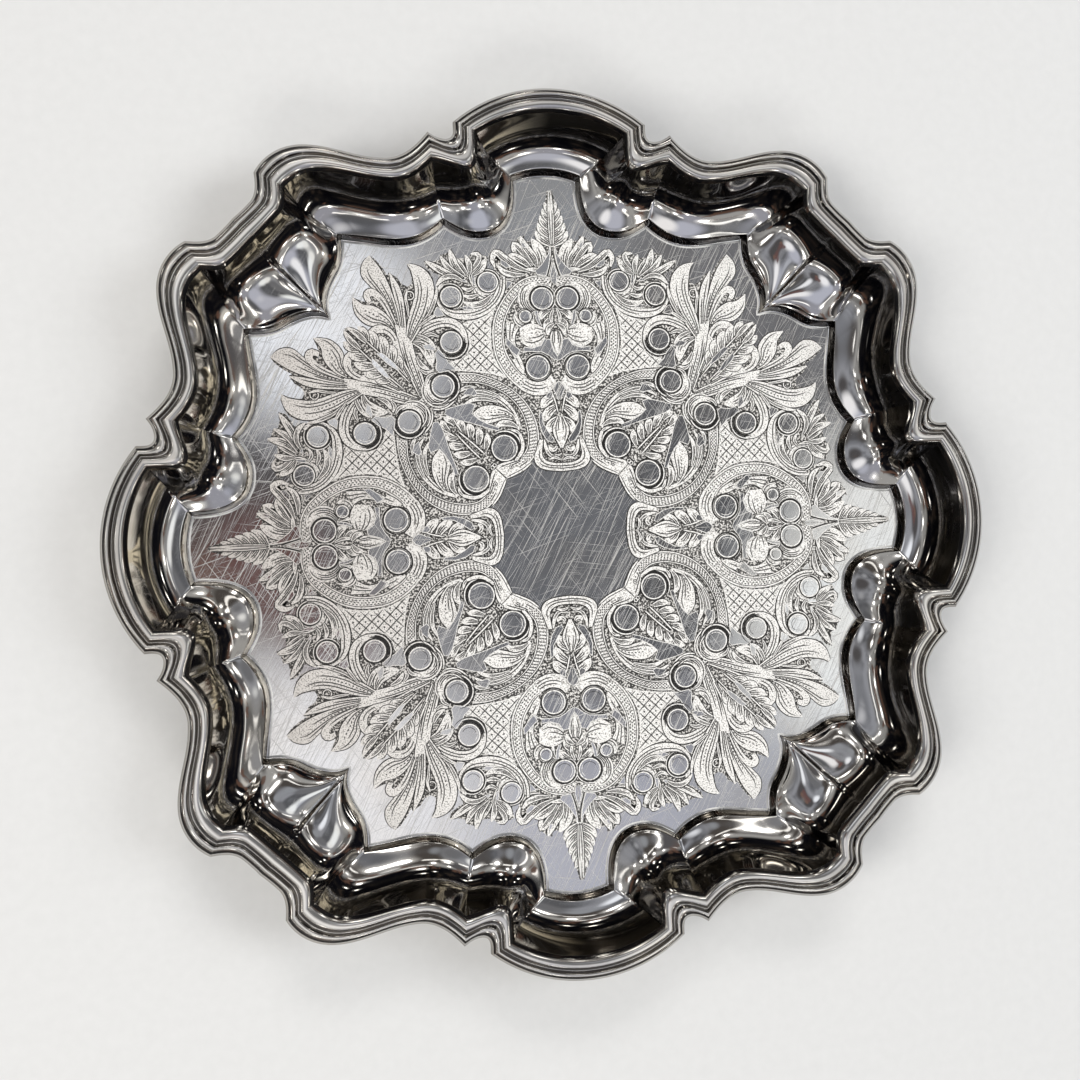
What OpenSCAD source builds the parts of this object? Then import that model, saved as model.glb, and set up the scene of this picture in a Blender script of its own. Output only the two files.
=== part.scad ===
// Shaped ceremonial plate (salver) with a pressed, lobed dish wall and an
// applied moulded border made up of mitred lengths.
// Units are millimetres, +Z is up, the plate rests on z = 0 and its middle
// is on the Z axis; north is +Y and east is +X. The outline has four cardinal
// arcs and four diagonal wings: one eighth is designed, then mirrored and turned.

/* [Plate] */
// width across two opposite cardinal arcs
plate_w = 305; // [220:5:400]
// total height, underside to the top of the border
plate_h = 21.5; // [16:0.5:30]
// thickness of the pressed sheet
sheet_t = 1.2; // [0.8:0.1:2]

/* [Dish wall] */
// height of the small steep step round the flat, as a share of the wall height
step_share = 0.19; // [0.08:0.01:0.24]
// how strongly the lobes and wings swell between their creases
lobe_swell = 1; // [0:0.1:1.3]
// height of the fine ridge down the middle of each wing
wing_ridge = 0.7; // [0:0.1:1.2]

/* [Border] */
// width of the border moulding in plan, as a share of its normal width
border_share = 1; // [0.7:0.05:1.1]
// height of the two beads over their groove
bead_h = 1.3; // [0.6:0.1:2]
// depth of the lip that laps over the edge of the sheet
lip_h = 1.8; // [1.3:0.1:3]

/* [Hidden] */

plan_scale = plate_w / 305;   // the outlines below are drawn for a width of 305
bead_base = 0.9;              // height over the flange that the beads rise from
rim_z = plate_h - bead_base - bead_h; // top of the flange the border sits on
wall_h = rim_z - sheet_t;     // rise from the flat to the flange
lip_share = 0.12;             // share of the border width outside the flange edge

sheet_color = [0.80, 0.80, 0.78];
border_color = [0.86, 0.85, 0.82];

function mix(a, b, share) = a * (1 - share) + b * share;

// ---- outlines of one eighth, from the north axis to the diagonal ----
// Each row is one run. The first is the arc on the axis:
//   [top, radius, half width]
// and the others are curves, with angles in degrees anticlockwise from +X:
//   [start, leaving angle, end, arriving angle, fullness]
// Runs: arc / drop / rise to cusp / fall / swell / shoulder / wing / wing tip
OUTER = [
  [152.5, 52.1, 33.5],
  [[33.5, 140.3], -93, [36.6, 134.5],   0, 0.50],
  [[36.6, 134.5],   4, [42.2, 136.9],  38, 0.36],
  [[42.2, 136.9], -50, [57.0, 127.8],   0, 0.36],
  [[57.0, 127.8],   0, [83.5, 132.0],   0, 0.36],
  [[83.5, 132.0],   0, [99.8, 122.5], -62, 0.36],
  [[99.8, 122.5], -95, [101.2, 113.0], -55, 0.36],
  [[101.2, 113.0], -48, [107.2, 107.2], -40, 0.36]];
INNER = [
  [144.0, 46.7, 25.3],
  [[25.3, 136.6], -86, [29.8, 124.1],  -2, 0.42],
  [[29.8, 124.1],   4, [41.0, 126.6],   6, 0.36],
  [[41.0, 126.6], -42, [55.0, 119.8],   0, 0.36],
  [[55.0, 119.8],   0, [79.0, 122.9],   0, 0.36],
  [[79.0, 122.9],   0, [90.2, 117.5], -50, 0.36],
  [[90.2, 117.5], -92, [91.5, 109.3], -55, 0.36],
  [[91.5, 109.3], -48, [100.3, 100.3], -44, 0.36]];
FLAT = [
  [129.0, 34.1, 11.2],
  [[11.2, 127.1], -92, [25.0, 106.3],   0, 0.45],
  [[25.0, 106.3],   0, [37.0, 111.0],  32, 0.36],
  [[37.0, 111.0], -45, [53.5, 103.7],   0, 0.36],
  [[53.5, 103.7],   0, [66.0, 105.1],   8, 0.36],
  [[66.0, 105.1],   8, [73.0, 106.0],   8, 0.36],
  [[73.0, 106.0], -92, [75.3,  93.8], -58, 0.36],
  [[75.3,  93.8], -58, [78.3,  78.3], -112, 0.36]];

PIECES = [4, 6, 3, 4, 4, 4, 3, 4];  // straight pieces drawn in each run
function sum_to(list, count, i = 0) = i >= count ? 0 : list[i] + sum_to(list, count, i + 1);
START = [for (i = [0 : len(PIECES)]) sum_to(PIECES, i)]; // first point of each run

// point counts along the outline, and the points where the creases lie
EIGHTH = START[8];
QUARTER = 2 * EIGHTH;
ROUND = 4 * QUARTER;
ARC_END = START[1];
CUSP = START[3];
WING = START[6];

function heading(angle) = [cos(angle), sin(angle)];
function arc_point(run, u) = let (radius = run[1], angle = asin(run[2] / radius) * u)
  [radius * sin(angle), run[0] - radius + radius * cos(angle)];
// cubic Bezier curve; the fullness sets how far its handles reach
function curve_point(run, u) =
  let (start = run[0], end = run[2], reach = norm(end - start) * run[4],
       handle_1 = start + reach * heading(run[1]),
       handle_2 = end - reach * heading(run[3]))
  pow(1 - u, 3) * start + 3 * pow(1 - u, 2) * u * handle_1
    + 3 * (1 - u) * u * u * handle_2 + pow(u, 3) * end;
function run_of(i, k = 0) = (k >= len(PIECES) - 1 || i < START[k + 1]) ? k : run_of(i, k + 1);
function eighth_point(outline, i) = let (k = run_of(i), u = (i - START[k]) / PIECES[k])
  k == 0 ? arc_point(outline[k], u) : curve_point(outline[k], u);

// the point of the designed eighth that matches point i of the whole outline
function fold(i) = let (m = i % QUARTER) m <= EIGHTH ? m : QUARTER - m;
// whole outline, clockwise from the north axis, by mirroring and turning
function ring(outline) = [for (i = [0 : ROUND - 1])
  let (drawn = eighth_point(outline, fold(i)),
       p = i % QUARTER <= EIGHTH ? drawn : [drawn[1], drawn[0]],
       turn = -90 * floor(i / QUARTER))
  plan_scale * [p[0] * cos(turn) - p[1] * sin(turn), p[0] * sin(turn) + p[1] * cos(turn)]];

outer_ring = ring(OUTER);
flat_ring = ring(FLAT);
normal_inner = ring(INNER);
inner_ring = [for (i = [0 : ROUND - 1]) mix(outer_ring[i], normal_inner[i], border_share)];

// point i on a line across the border: share 0 is its outer edge, 1 its inner
function at_border(i, share, z) = let (p = mix(outer_ring[i], inner_ring[i], share)) [p[0], p[1], z];

// triangles joining successive rows of points, each row a closed loop
function skin(rows, row_len) =
  [for (j = [0 : rows - 2]) for (i = [0 : row_len - 1])
    let (k = (i + 1) % row_len,
         a = j * row_len + i, b = j * row_len + k,
         c = (j + 1) * row_len + k, d = (j + 1) * row_len + i)
    each [[a, c, b], [a, d, c]]];

// ---- rise of the dish wall ----
// A station q runs from 0 at the flat to 2 at the border: up to 1 it climbs the
// small steep step; from 1 to 2 it crosses the gently rising shelf and the
// steep cove above it.
TOP_STATIONS = [0, 0.25, 0.5, 0.75, 1, 1.08, 1.2, 1.36, 1.52, 1.68, 1.82, 1.92, 2];
UNDER_STATIONS = [2, 1.87, 1.7, 1.45, 1.2, 1, 0.5, 0]; // border to flat
step_w = 1.9 * plan_scale;    // plan width of the step, the same all round
step_max_share = 0.4;         // most of the wall's plan width the step may take
step_h = step_share * wall_h;

// shares of the rise above the step
shelf_rise = 0.2;             // taken by the shelf; the cove takes the rest
swell_rise = 0.20;            // full swelling
cusp_swell = 0.35;            // share of the swelling from arc end to cusp
ogee_swell = 0.30;            // share of the swelling from cusp to wing
cove_power = 3.2;             // steepness of the cove outside the wings
wing_power = 2.0;             // added to it towards the diagonal

slope_reach = 0.06;           // stations each way over which the slope is taken
max_stretch = 2.2;            // limit on the upright thickness, in sheet thicknesses

// how far into the wing a column lies: 0 at its crease, 1 on the diagonal
function wing_at(i) = max(0, (fold(i) - WING) / (EIGHTH - WING));
function hump(m, from, to, power) = pow(sin(180 * (m - from) / (to - from)), power);
// how much of the swelling applies: none at the creases, full in each half of a wing
function swell_at(i) = let (m = fold(i))
  m <= ARC_END ? 0
  : m <= CUSP ? cusp_swell * hump(m, ARC_END, CUSP, 0.7)
  : m <= WING ? ogee_swell * hump(m, CUSP, WING, 0.7)
  : hump(m, WING, EIGHTH, 0.8);
// these take t, from 0 at the top of the step to 1 at the border
function cove(i, t) = shelf_rise * t
  + (1 - shelf_rise) * pow(t, cove_power + wing_power * sin(90 * wing_at(i)));
function swelling(t) = lobe_swell * swell_rise * sin(180 * pow(t, 0.8));
function ridge(i, t) = fold(i) == EIGHTH ? wing_ridge * pow(sin(180 * t), 0.6) : 0;

function wall_z(i, q) = q <= 1 ? sheet_t + step_h * (1 - cos(180 * q)) / 2
  : sheet_t + step_h + ridge(i, q - 1)
    + (wall_h - step_h) * (cove(i, q - 1) + swell_at(i) * swelling(q - 1));
function wall_run(i) = norm(flat_ring[i] - inner_ring[i]);
// share of the way from the flat to the border at a station
function wall_share(i, q) = let (step_end = min(step_w / wall_run(i), step_max_share))
  q <= 1 ? q * step_end : step_end + (1 - step_end) * (q - 1);
function wall_top(i, q) = let (p = mix(flat_ring[i], inner_ring[i], wall_share(i, q)))
  [p[0], p[1], wall_z(i, q)];
// underside, with the thickness measured square to the slope
function wall_under(i, q) =
  let (p = wall_top(i, q), q0 = max(q - slope_reach, 0), q1 = min(q + slope_reach, 2),
       run = wall_run(i) * (wall_share(i, q1) - wall_share(i, q0)),
       slope = (wall_z(i, q1) - wall_z(i, q0)) / run,
       drop = sheet_t * min(sqrt(1 + slope * slope), max_stretch),
       lowest = 0.02 + 0.1 * q) // keeps the underside above z = 0
  [p[0], p[1], q == 0 ? 0 : q == 2 ? rim_z - sheet_t : max(p[2] - drop, lowest)];

// pressed sheet: flat, dish wall and the flange under the border
module body() {
  points = concat(
    [for (q = TOP_STATIONS) for (i = [0 : ROUND - 1]) wall_top(i, q)],
    [for (z = [rim_z, rim_z - sheet_t]) for (i = [0 : ROUND - 1]) at_border(i, lip_share, z)],
    [for (q = UNDER_STATIONS) for (i = [0 : ROUND - 1]) wall_under(i, q)],
    [[0, 0, sheet_t], [0, 0, 0]]);
  rows = len(TOP_STATIONS) + 2 + len(UNDER_STATIONS);
  last_row = (rows - 1) * ROUND;
  top_middle = rows * ROUND;
  under_middle = top_middle + 1;
  flat_top = [for (i = [0 : ROUND - 1]) [i, (i + 1) % ROUND, top_middle]];
  flat_under = [for (i = [0 : ROUND - 1])
    [last_row + (i + 1) % ROUND, last_row + i, under_middle]];
  color(sheet_color)
    polyhedron(points = points, faces = concat(flat_top, skin(rows, ROUND), flat_under),
      convexity = 10);
}

// ---- border moulding ----
function bead(share) = bead_base + bead_h * share;
// section, outer edge to inner edge and back along the flange:
// [share of the width, height over the flange]
SECTION = [
  [0, -lip_h], [0, -0.2], [0.03, 0.55],
  [0.10, bead(0.35)], [0.20, bead(0.80)], [0.29, bead(1)], [0.35, bead(0.92)],
  [0.40, bead(0.50)], [0.44, bead(0.15)], [0.475, bead(0.27)],
  [0.53, bead(0.65)], [0.63, bead(0.85)], [0.76, bead(0.73)], [0.87, bead(0.35)],
  [0.95, bead_base * 0.80], [1, 0.25],
  [1, 0], [0.52, 0], [lip_share, 0], [lip_share, -lip_h]];
// the section's ends are closed by fans round two of its lower corners
MID_CORNER = 17;
LIP_CORNER = 18;
LIP_FOOT = 19;
FAN_SPLIT = 4; // section point shared by the two fans
END_FAN = concat(
  [for (j = [FAN_SPLIT : MID_CORNER - 2]) [MID_CORNER, j, j + 1]],
  [[MID_CORNER, LIP_CORNER, FAN_SPLIT]],
  [for (j = [0 : FAN_SPLIT - 1]) [LIP_CORNER, j, j + 1]],
  [[LIP_CORNER, LIP_FOOT, 0]]);

NORTH = 0;
EAST = QUARTER;
SOUTH = 2 * QUARTER;
WEST = 3 * QUARTER;

// one mitred length; from and to count outline points clockwise from an axis
module border(axis, from, to) {
  row_len = len(SECTION);
  points = [for (i = [axis + from : axis + to]) for (s = SECTION)
    at_border((i + ROUND) % ROUND, s[0], rim_z + s[1])];
  last_row = (to - from) * row_len;
  far_end = [for (f = END_FAN) [for (p = [f[2], f[1], f[0]]) last_row + p]];
  color(border_color)
    polyhedron(points = points,
      faces = concat(END_FAN, skin(to - from + 1, row_len), far_end), convexity = 8);
}

// l and r are left and right of an axis, looking outward from the middle
module arc_n() border(NORTH, -ARC_END, ARC_END);
module arc_e() border(EAST, -ARC_END, ARC_END);
module arc_s() border(SOUTH, -ARC_END, ARC_END);
module arc_w() border(WEST, -ARC_END, ARC_END);
module step_n_r() border(NORTH, ARC_END, CUSP);
module step_e_l() border(EAST, -CUSP, -ARC_END);
module step_e_r() border(EAST, ARC_END, CUSP);
module step_s_l() border(SOUTH, -CUSP, -ARC_END);
module step_s_r() border(SOUTH, ARC_END, CUSP);
module step_w_l() border(WEST, -CUSP, -ARC_END);
module step_w_r() border(WEST, ARC_END, CUSP);
module step_n_l() border(NORTH, -CUSP, -ARC_END);
module ogee_n_r() border(NORTH, CUSP, WING);
module ogee_e_l() border(EAST, -WING, -CUSP);
module ogee_e_r() border(EAST, CUSP, WING);
module ogee_s_l() border(SOUTH, -WING, -CUSP);
module ogee_s_r() border(SOUTH, CUSP, WING);
module ogee_w_l() border(WEST, -WING, -CUSP);
module ogee_w_r() border(WEST, CUSP, WING);
module ogee_n_l() border(NORTH, -WING, -CUSP);
module wing_ne() border(NORTH, WING, QUARTER - WING);
module wing_se() border(EAST, WING, QUARTER - WING);
module wing_sw() border(SOUTH, WING, QUARTER - WING);
module wing_nw() border(WEST, WING, QUARTER - WING);

body();
arc_n();
arc_e();
arc_s();
arc_w();
step_n_r();
step_e_l();
step_e_r();
step_s_l();
step_s_r();
step_w_l();
step_w_r();
step_n_l();
ogee_n_r();
ogee_e_l();
ogee_e_r();
ogee_s_l();
ogee_s_r();
ogee_w_l();
ogee_w_r();
ogee_n_l();
wing_ne();
wing_se();
wing_sw();
wing_nw();
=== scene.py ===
# A shaped, engraved ceremonial silver plate: a pressed sheet, a moulded border and an engraved middle.
# It rests on z = 0 with +Z up, centred on the Z axis, an arc of its outline facing +Y, +X, -Y and -X.
# Lengths are in millimetres, turned into Blender's metres by MM; nodes, lights and floor are in metres.
import bpy
import math
import numpy as np
from mathutils import Matrix, Vector


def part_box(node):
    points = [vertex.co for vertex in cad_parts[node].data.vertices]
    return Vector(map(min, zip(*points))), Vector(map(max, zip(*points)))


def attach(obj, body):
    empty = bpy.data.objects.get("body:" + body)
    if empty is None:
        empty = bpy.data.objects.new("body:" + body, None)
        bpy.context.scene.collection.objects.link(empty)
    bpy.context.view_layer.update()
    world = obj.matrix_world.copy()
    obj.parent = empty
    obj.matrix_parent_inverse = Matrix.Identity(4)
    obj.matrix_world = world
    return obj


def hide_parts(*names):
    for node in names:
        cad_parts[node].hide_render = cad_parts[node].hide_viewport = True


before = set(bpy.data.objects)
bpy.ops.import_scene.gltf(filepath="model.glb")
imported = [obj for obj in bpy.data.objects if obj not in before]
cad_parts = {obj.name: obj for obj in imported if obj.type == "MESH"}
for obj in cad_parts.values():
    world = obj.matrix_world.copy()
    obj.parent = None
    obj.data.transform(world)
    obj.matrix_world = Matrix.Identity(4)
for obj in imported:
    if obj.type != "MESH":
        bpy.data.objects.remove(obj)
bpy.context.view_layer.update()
MM = 0.001
BODY_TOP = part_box("body")[1]
ARC_LOW, ARC_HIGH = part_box("arc_n")
REACH = 152.5                           # centre to the middle of an arc, in the plan drawing
SCALE = (ARC_HIGH[1] / MM) / REACH      # plan drawing to CAD
RIM = BODY_TOP[2] / MM                  # top of the flange under the border
SHEET = 1.2                             # sheet thickness, and so the height of the flat
WALL = RIM - SHEET
EDGE = 0.9                              # height of the border's edges
BEAD = ARC_HIGH[2] / MM - RIM - EDGE    # rise of the border's bead above its edges
LIP = RIM - ARC_LOW[2] / MM             # drop of the border's outer lip below the rim
LIP_SHARE = 0.12                        # lip thickness as a share of the border's width

# ------------------------------------------------------------------ outlines
# An eighth of an outline, clockwise from +Y: an arc (top y, radius) ending at `start`, then
# curves (heading at start in degrees, end x, end y, heading at end).
# A handle's length is a share of its curve's chord: `first_pull` for the first, PULL for the rest.
PULL = 0.36
OUTER = dict(top=REACH, radius=52.1, start=(33.5, 140.3), first_pull=.50, curves=(
    (-93, 36.6, 134.5, 0), (4, 42.2, 136.9, 38), (-50, 57, 127.8, 0), (0, 83.5, 132, 0),
    (0, 99.8, 122.5, -62), (-95, 101.2, 113, -55), (-48, 107.2, 107.2, -40)))
INNER = dict(top=144.0, radius=46.7, start=(25.3, 136.6), first_pull=.42, curves=(
    (-86, 29.8, 124.1, -2), (4, 41, 126.6, 6), (-42, 55, 119.8, 0), (0, 79, 122.9, 0),
    (0, 90.2, 117.5, -50), (-92, 91.5, 109.3, -55), (-48, 100.3, 100.3, -44)))
FLAT = dict(top=129.0, radius=34.1, start=(11.2, 127.1), first_pull=.45, curves=(
    (-92, 25, 106.3, 0), (0, 37, 111, 32), (-45, 53.5, 103.7, 0), (0, 66, 105.1, 8),
    (8, 73, 106, 8), (-92, 75.3, 93.8, -58), (-58, 78.3, 78.3, -112)))
SEGMENTS = [22, 32, 14, 20, 22, 18, 14, 26]
STARTS = [sum(SEGMENTS[:i]) for i in range(len(SEGMENTS) + 1)]
EIGHTH = STARTS[-1]
QUARTER = 2 * EIGHTH
ROUND = 8 * EIGHTH
# where the arc, the step beside it and the ogee end, counted from the middle of a side
ARC_END, STEP_END, OGEE_END = STARTS[1], STARTS[3], STARTS[6]


def heading(degrees):
    angle = math.radians(degrees)
    return np.array([math.cos(angle), math.sin(angle)])


def quarter_turned(points, turns):
    """Plan points turned clockwise by a number of quarter turns."""
    angle = -math.pi / 2 * turns
    c, s = math.cos(angle), math.sin(angle)
    return points @ np.array([[c, -s], [s, c]]).T


def full_outline(top, radius, start, first_pull, curves):
    """All points of a closed outline, clockwise from the +Y axis."""
    angle = math.asin(start[0] / radius) * np.linspace(0, 1, SEGMENTS[0] + 1)
    parts = [np.c_[radius * np.sin(angle), top - radius + radius * np.cos(angle)]]
    begin, pull = np.array(start, float), first_pull
    for (turn_in, x, y, turn_out), count in zip(curves, SEGMENTS[1:]):
        end = np.array([x, y], float)
        reach = np.linalg.norm(end - begin) * pull
        handle, handle_end = begin + reach * heading(turn_in), end - reach * heading(turn_out)
        u = np.linspace(0, 1, count + 1)[:, None]
        points = ((1 - u) ** 3 * begin + 3 * (1 - u) ** 2 * u * handle
                  + 3 * (1 - u) * u * u * handle_end + u ** 3 * end)
        parts.append(points[1:])
        begin, pull = end, PULL
    eighth = np.vstack(parts)
    quarter = np.vstack([eighth, eighth[::-1][1:][:, ::-1]])[:-1]
    return np.vstack([quarter_turned(quarter, k) for k in range(4)]) * SCALE


outer, inner, flat = (full_outline(**spec) for spec in (OUTER, INNER, FLAT))

# ------------------------------------------------------------------ wall heights, as in the CAD
# A station runs 0..1 up the small steep step, then 1..2 across the shelf and up the cove.
STEP_WIDTH, STEP_HEIGHT = 1.9 * SCALE, 0.19 * WALL
wall_width = np.linalg.norm(flat - inner, axis=1)
step_share = np.minimum(STEP_WIDTH / wall_width, 0.4)
# each point's place in its eighth, 0 in the middle of a side and EIGHTH on the diagonal
place = np.arange(ROUND) % QUARTER
place = np.minimum(place, QUARTER - place)
wing = np.maximum(0, (place - OGEE_END) / float(EIGHTH - OGEE_END))


def lobe(begin, end, power):
    return np.clip(np.sin(np.pi * (place - begin) / (end - begin)), 0, 1) ** power


swell = np.where(place <= ARC_END, 0,
                 np.where(place <= STEP_END, 0.35 * lobe(ARC_END, STEP_END, 0.7),
                          np.where(place <= OGEE_END, 0.30 * lobe(STEP_END, OGEE_END, 0.7),
                                   lobe(OGEE_END, EIGHTH, 0.8))))
# a narrow rib runs up the wall on each diagonal
rib = np.select([place == EIGHTH, place == EIGHTH - 1, place == EIGHTH - 2], [0.22, 0.62, 0.10], 0.0)


def wall_z(station):
    if station <= 1:
        return np.full(ROUND, SHEET + STEP_HEIGHT * (1 - math.cos(math.pi * station)) / 2)
    t = station - 1
    cove = 0.2 * t + 0.8 * t ** (3.2 + 2.0 * np.sin(np.pi / 2 * wing))
    return (SHEET + STEP_HEIGHT + (WALL - STEP_HEIGHT) * (cove + swell * 0.20 * np.sin(np.pi * t ** 0.8))
            + rib * np.sin(np.pi * t) ** 0.6)


def wall_share(station):
    """Share of the way from the flat to the border's inner edge."""
    if station <= 1:
        return station * step_share
    return step_share + (1 - step_share) * (station - 1)


def wall_ring(station):
    s = wall_share(station)[:, None]
    return np.c_[flat * (1 - s) + inner * s, wall_z(station)]


# ------------------------------------------------------------------ mesh helpers
def make(name, verts, faces, slot, smooth=True, sharp_angle=None):
    mesh = bpy.data.meshes.new(name)
    mesh.from_pydata([tuple(v) for v in (np.asarray(verts) * MM)], [], faces)
    mesh.validate()
    mesh.update()
    if smooth:
        mesh.shade_smooth()
    ob = bpy.data.objects.new(name, mesh)
    bpy.context.scene.collection.objects.link(ob)
    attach(ob, "root")
    if sharp_angle:
        mesh.set_sharp_from_angle(angle=math.radians(sharp_angle))
    return ob


def ring_at(points, z):
    return np.c_[points, np.broadcast_to(z, len(points))]


def skin(rings, first=None, last=None):
    """Quads between closed rings; `first` and `last` are optional middle points closing the ends."""
    n = len(rings[0])
    verts = np.vstack(rings)
    faces = []
    here = np.arange(n)
    after = (here + 1) % n
    for j in range(len(rings) - 1):
        a, b = j * n + here, j * n + after
        faces += np.stack([a, b, b + n, a + n], 1).tolist()
    if first is not None:
        faces += np.stack([here, np.full(n, len(verts)), after], 1).tolist()
        verts = np.vstack([verts, first])
    if last is not None:
        k = (len(rings) - 1) * n
        faces += np.stack([k + after, np.full(n, len(verts)), k + here], 1).tolist()
        verts = np.vstack([verts, last])
    return verts, faces


def unit(vectors):
    return vectors / (np.linalg.norm(vectors, axis=1)[:, None] + 1e-9)


def left_normals(path):
    along = unit(np.gradient(path, axis=0))
    return np.c_[-along[:, 1], along[:, 0]]


def smooth_line(points, steps):
    """Catmull-Rom curve through the points, `steps` samples to a span."""
    p = np.array(points, float)
    q = np.vstack([2 * p[0] - p[1], p, 2 * p[-1] - p[-2]])
    out = []
    for i in range(len(p) - 1):
        a, b, c, d = q[i:i + 4]
        for u in np.arange(steps) / steps:
            out.append(.5 * ((2 * b) + (c - a) * u + (2 * a - 5 * b + 4 * c - d) * u * u
                             + (3 * b - a - 3 * c + d) * u ** 3))
    out.append(p[-1])
    return np.array(out)


# ------------------------------------------------------------------ pressed sheet
def tidy(*parts):
    return np.unique(np.round(np.r_[parts], 5))


TOP_STATIONS = tidy(0, *np.linspace(0.08, 1, 12), *np.linspace(1, 1.2, 7), *np.linspace(1.2, 2, 26))
UNDER_STATIONS = tidy(*np.linspace(0, 1, 5), *np.linspace(1, 2, 16))


def border_ring(share, z):
    """A ring under the border; share 0 is its outer edge, 1 its inner edge."""
    return ring_at(outer * (1 - share) + inner * share, z)


def under_ring(station):
    """The underside of the wall, kept one sheet thickness away from the top."""
    low, high = max(station - .05, 0), min(station + .05, 2)
    slope = (wall_z(high) - wall_z(low)) / (wall_width * (wall_share(high) - wall_share(low)))
    ring = wall_ring(station)
    floor_z = RIM - SHEET if station >= 2 else 0.02 + 0.1 * station
    ring[:, 2] = np.maximum(ring[:, 2] - SHEET * np.minimum(np.sqrt(1 + slope * slope), 2.2), floor_z)
    if station == 0:
        ring[:, 2] = 0
    return ring


body_rings = [ring_at(flat * 0.35, SHEET), ring_at(flat * 0.9945, SHEET)]
body_rings += [wall_ring(q) for q in TOP_STATIONS]
body_rings += [border_ring(0.93, RIM), border_ring(LIP_SHARE + 0.02, RIM),
               border_ring(LIP_SHARE + 0.003, RIM), border_ring(LIP_SHARE + 0.003, RIM - SHEET),
               border_ring(0.90, RIM - SHEET)]
body_rings += [under_ring(q) for q in UNDER_STATIONS[::-1]]
body_rings += [ring_at(flat * 0.99, 0.0)]
body = make("pressed_sheet", *skin(body_rings, first=[0, 0, SHEET], last=[0, 0, 0]), "plate_sheet",
            sharp_angle=50)
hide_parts("body")

# ------------------------------------------------------------------ border lengths
# across (0 outer edge, 1 inner edge), height above the rim
crown = smooth_line([
    (0, -.2), (.008, .30), (.03, .60), (.10, EDGE + BEAD * .36), (.19, EDGE + BEAD * .78),
    (.29, EDGE + BEAD), (.352, EDGE + BEAD * .90), (.398, EDGE + BEAD * .50),
    (.44, EDGE + BEAD * .15), (.478, EDGE + BEAD * .27), (.53, EDGE + BEAD * .62),
    (.63, EDGE + BEAD * .85), (.76, EDGE + BEAD * .74), (.87, EDGE + BEAD * .36),
    (.95, EDGE * .72), (1, .12)], steps=4)
profile = np.vstack([[0, -LIP], [0, -LIP * .6], crown,
                     [1, 0], [.52, 0], [LIP_SHARE, 0], [LIP_SHARE, -LIP]])
SECTION = len(profile)


def end_fan():
    """Triangles closing a section: fans from the middle of its base and from the root of the lip."""
    inner_foot, base_middle, lip_root, lip_foot = range(SECTION - 4, SECTION)
    on_crown = np.arange(SECTION) < inner_foot
    split = int(np.argmax(profile[:, 0] * on_crown > LIP_SHARE))
    fan = [(base_middle, j, j + 1) for j in range(split, inner_foot)]
    fan += [(base_middle, lip_root, split)]
    fan += [(lip_root, j, j + 1) for j in range(split)]
    return fan + [(lip_root, lip_foot, 0)]


END_FAN = end_fan()


def border(name, begin, end):
    stations = np.arange(begin, end + 1) % ROUND
    n = len(stations) - 1
    across = profile[:, :1]
    verts = np.vstack([np.c_[outer[k] * (1 - across) + inner[k] * across, RIM + profile[:, 1]]
                       for k in stations])
    faces = []
    for i in range(n):
        a, b = i * SECTION, (i + 1) * SECTION
        for j in range(SECTION):
            after = (j + 1) % SECTION
            faces.append((a + j, b + j, b + after, a + after))
    faces += END_FAN
    faces += [tuple(n * SECTION + corner for corner in triangle[::-1]) for triangle in END_FAN]
    ob = make("border_" + name, verts, faces, "border_moulding", sharp_angle=48)
    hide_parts(name)
    return ob


spans = {}
for turn, side in enumerate("nesw"):
    middle = turn * QUARTER
    spans["arc_" + side] = (middle - ARC_END, middle + ARC_END)
    for piece, near, far in (("step", ARC_END, STEP_END), ("ogee", STEP_END, OGEE_END)):
        spans[f"{piece}_{side}_r"] = (middle + near, middle + far)
        spans[f"{piece}_{side}_l"] = (middle - far, middle - near)
for turn, corner in enumerate(("ne", "se", "sw", "nw")):
    spans["wing_" + corner] = (turn * QUARTER + OGEE_END, (turn + 1) * QUARTER - OGEE_END)
borders = [border(name, *span) for name, span in spans.items()]

# Painted highlight: a bright line where the flat meets the step, a thin strip standing in for the light
# on the bend.
FOLD_SECTION = ((.24, -.01), (.36, .035), (.58, .055), (.80, .035), (.92, -.01))  # inset, height
tangent = unit(np.roll(flat, -1, 0) - np.roll(flat, 1, 0))
inwards = np.c_[tangent[:, 1], -tangent[:, 0]]      # the outlines run clockwise
fold_line = make("fold_line_painted_highlight", *skin(
    [ring_at(flat + inwards * inset * SCALE, SHEET + height) for inset, height in FOLD_SECTION]),
    "plate_sheet")

# ------------------------------------------------------------------ engraving tools
# Drawn for one eighth as thin plates and fine burrs a few hundredths to a few tenths of a
# millimetre proud, then mirrored and turned. Points are (x, y), +Y towards an arc.
AXIS_X = 2.0                    # x of the mirror line in the drawn points
LEVEL_STEP = 0.0010             # each mark is laid this much above the one before
level = 0
burrs, cuts = [], []                        # (path, half widths, level)
grounds, leaf_faces, mirrors = [], [], []   # (outline, level)


def drawn(points):
    return np.array(points, float) - [AXIS_X, 0]


def raise_level(steps=1):
    global level
    level += steps


def burr(path, width, above=0):
    """A bright raised line."""
    burrs.append((path, np.broadcast_to(width, len(path)), level + above))


def cut(path, width):
    """A dark cut line."""
    cuts.append((path, np.broadcast_to(width, len(path)), level))


def length(path):
    return np.linalg.norm(np.diff(path, axis=0), axis=1).sum()


def curve(points, count):
    """Smooth curve through the points in `count` evenly spaced pieces."""
    c = smooth_line(points, 8)
    travelled = np.r_[0, np.cumsum(np.linalg.norm(np.diff(c, axis=0), axis=1))]
    s = np.linspace(0, travelled[-1], count + 1)
    return np.c_[np.interp(s, travelled, c[:, 0]), np.interp(s, travelled, c[:, 1])]


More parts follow.
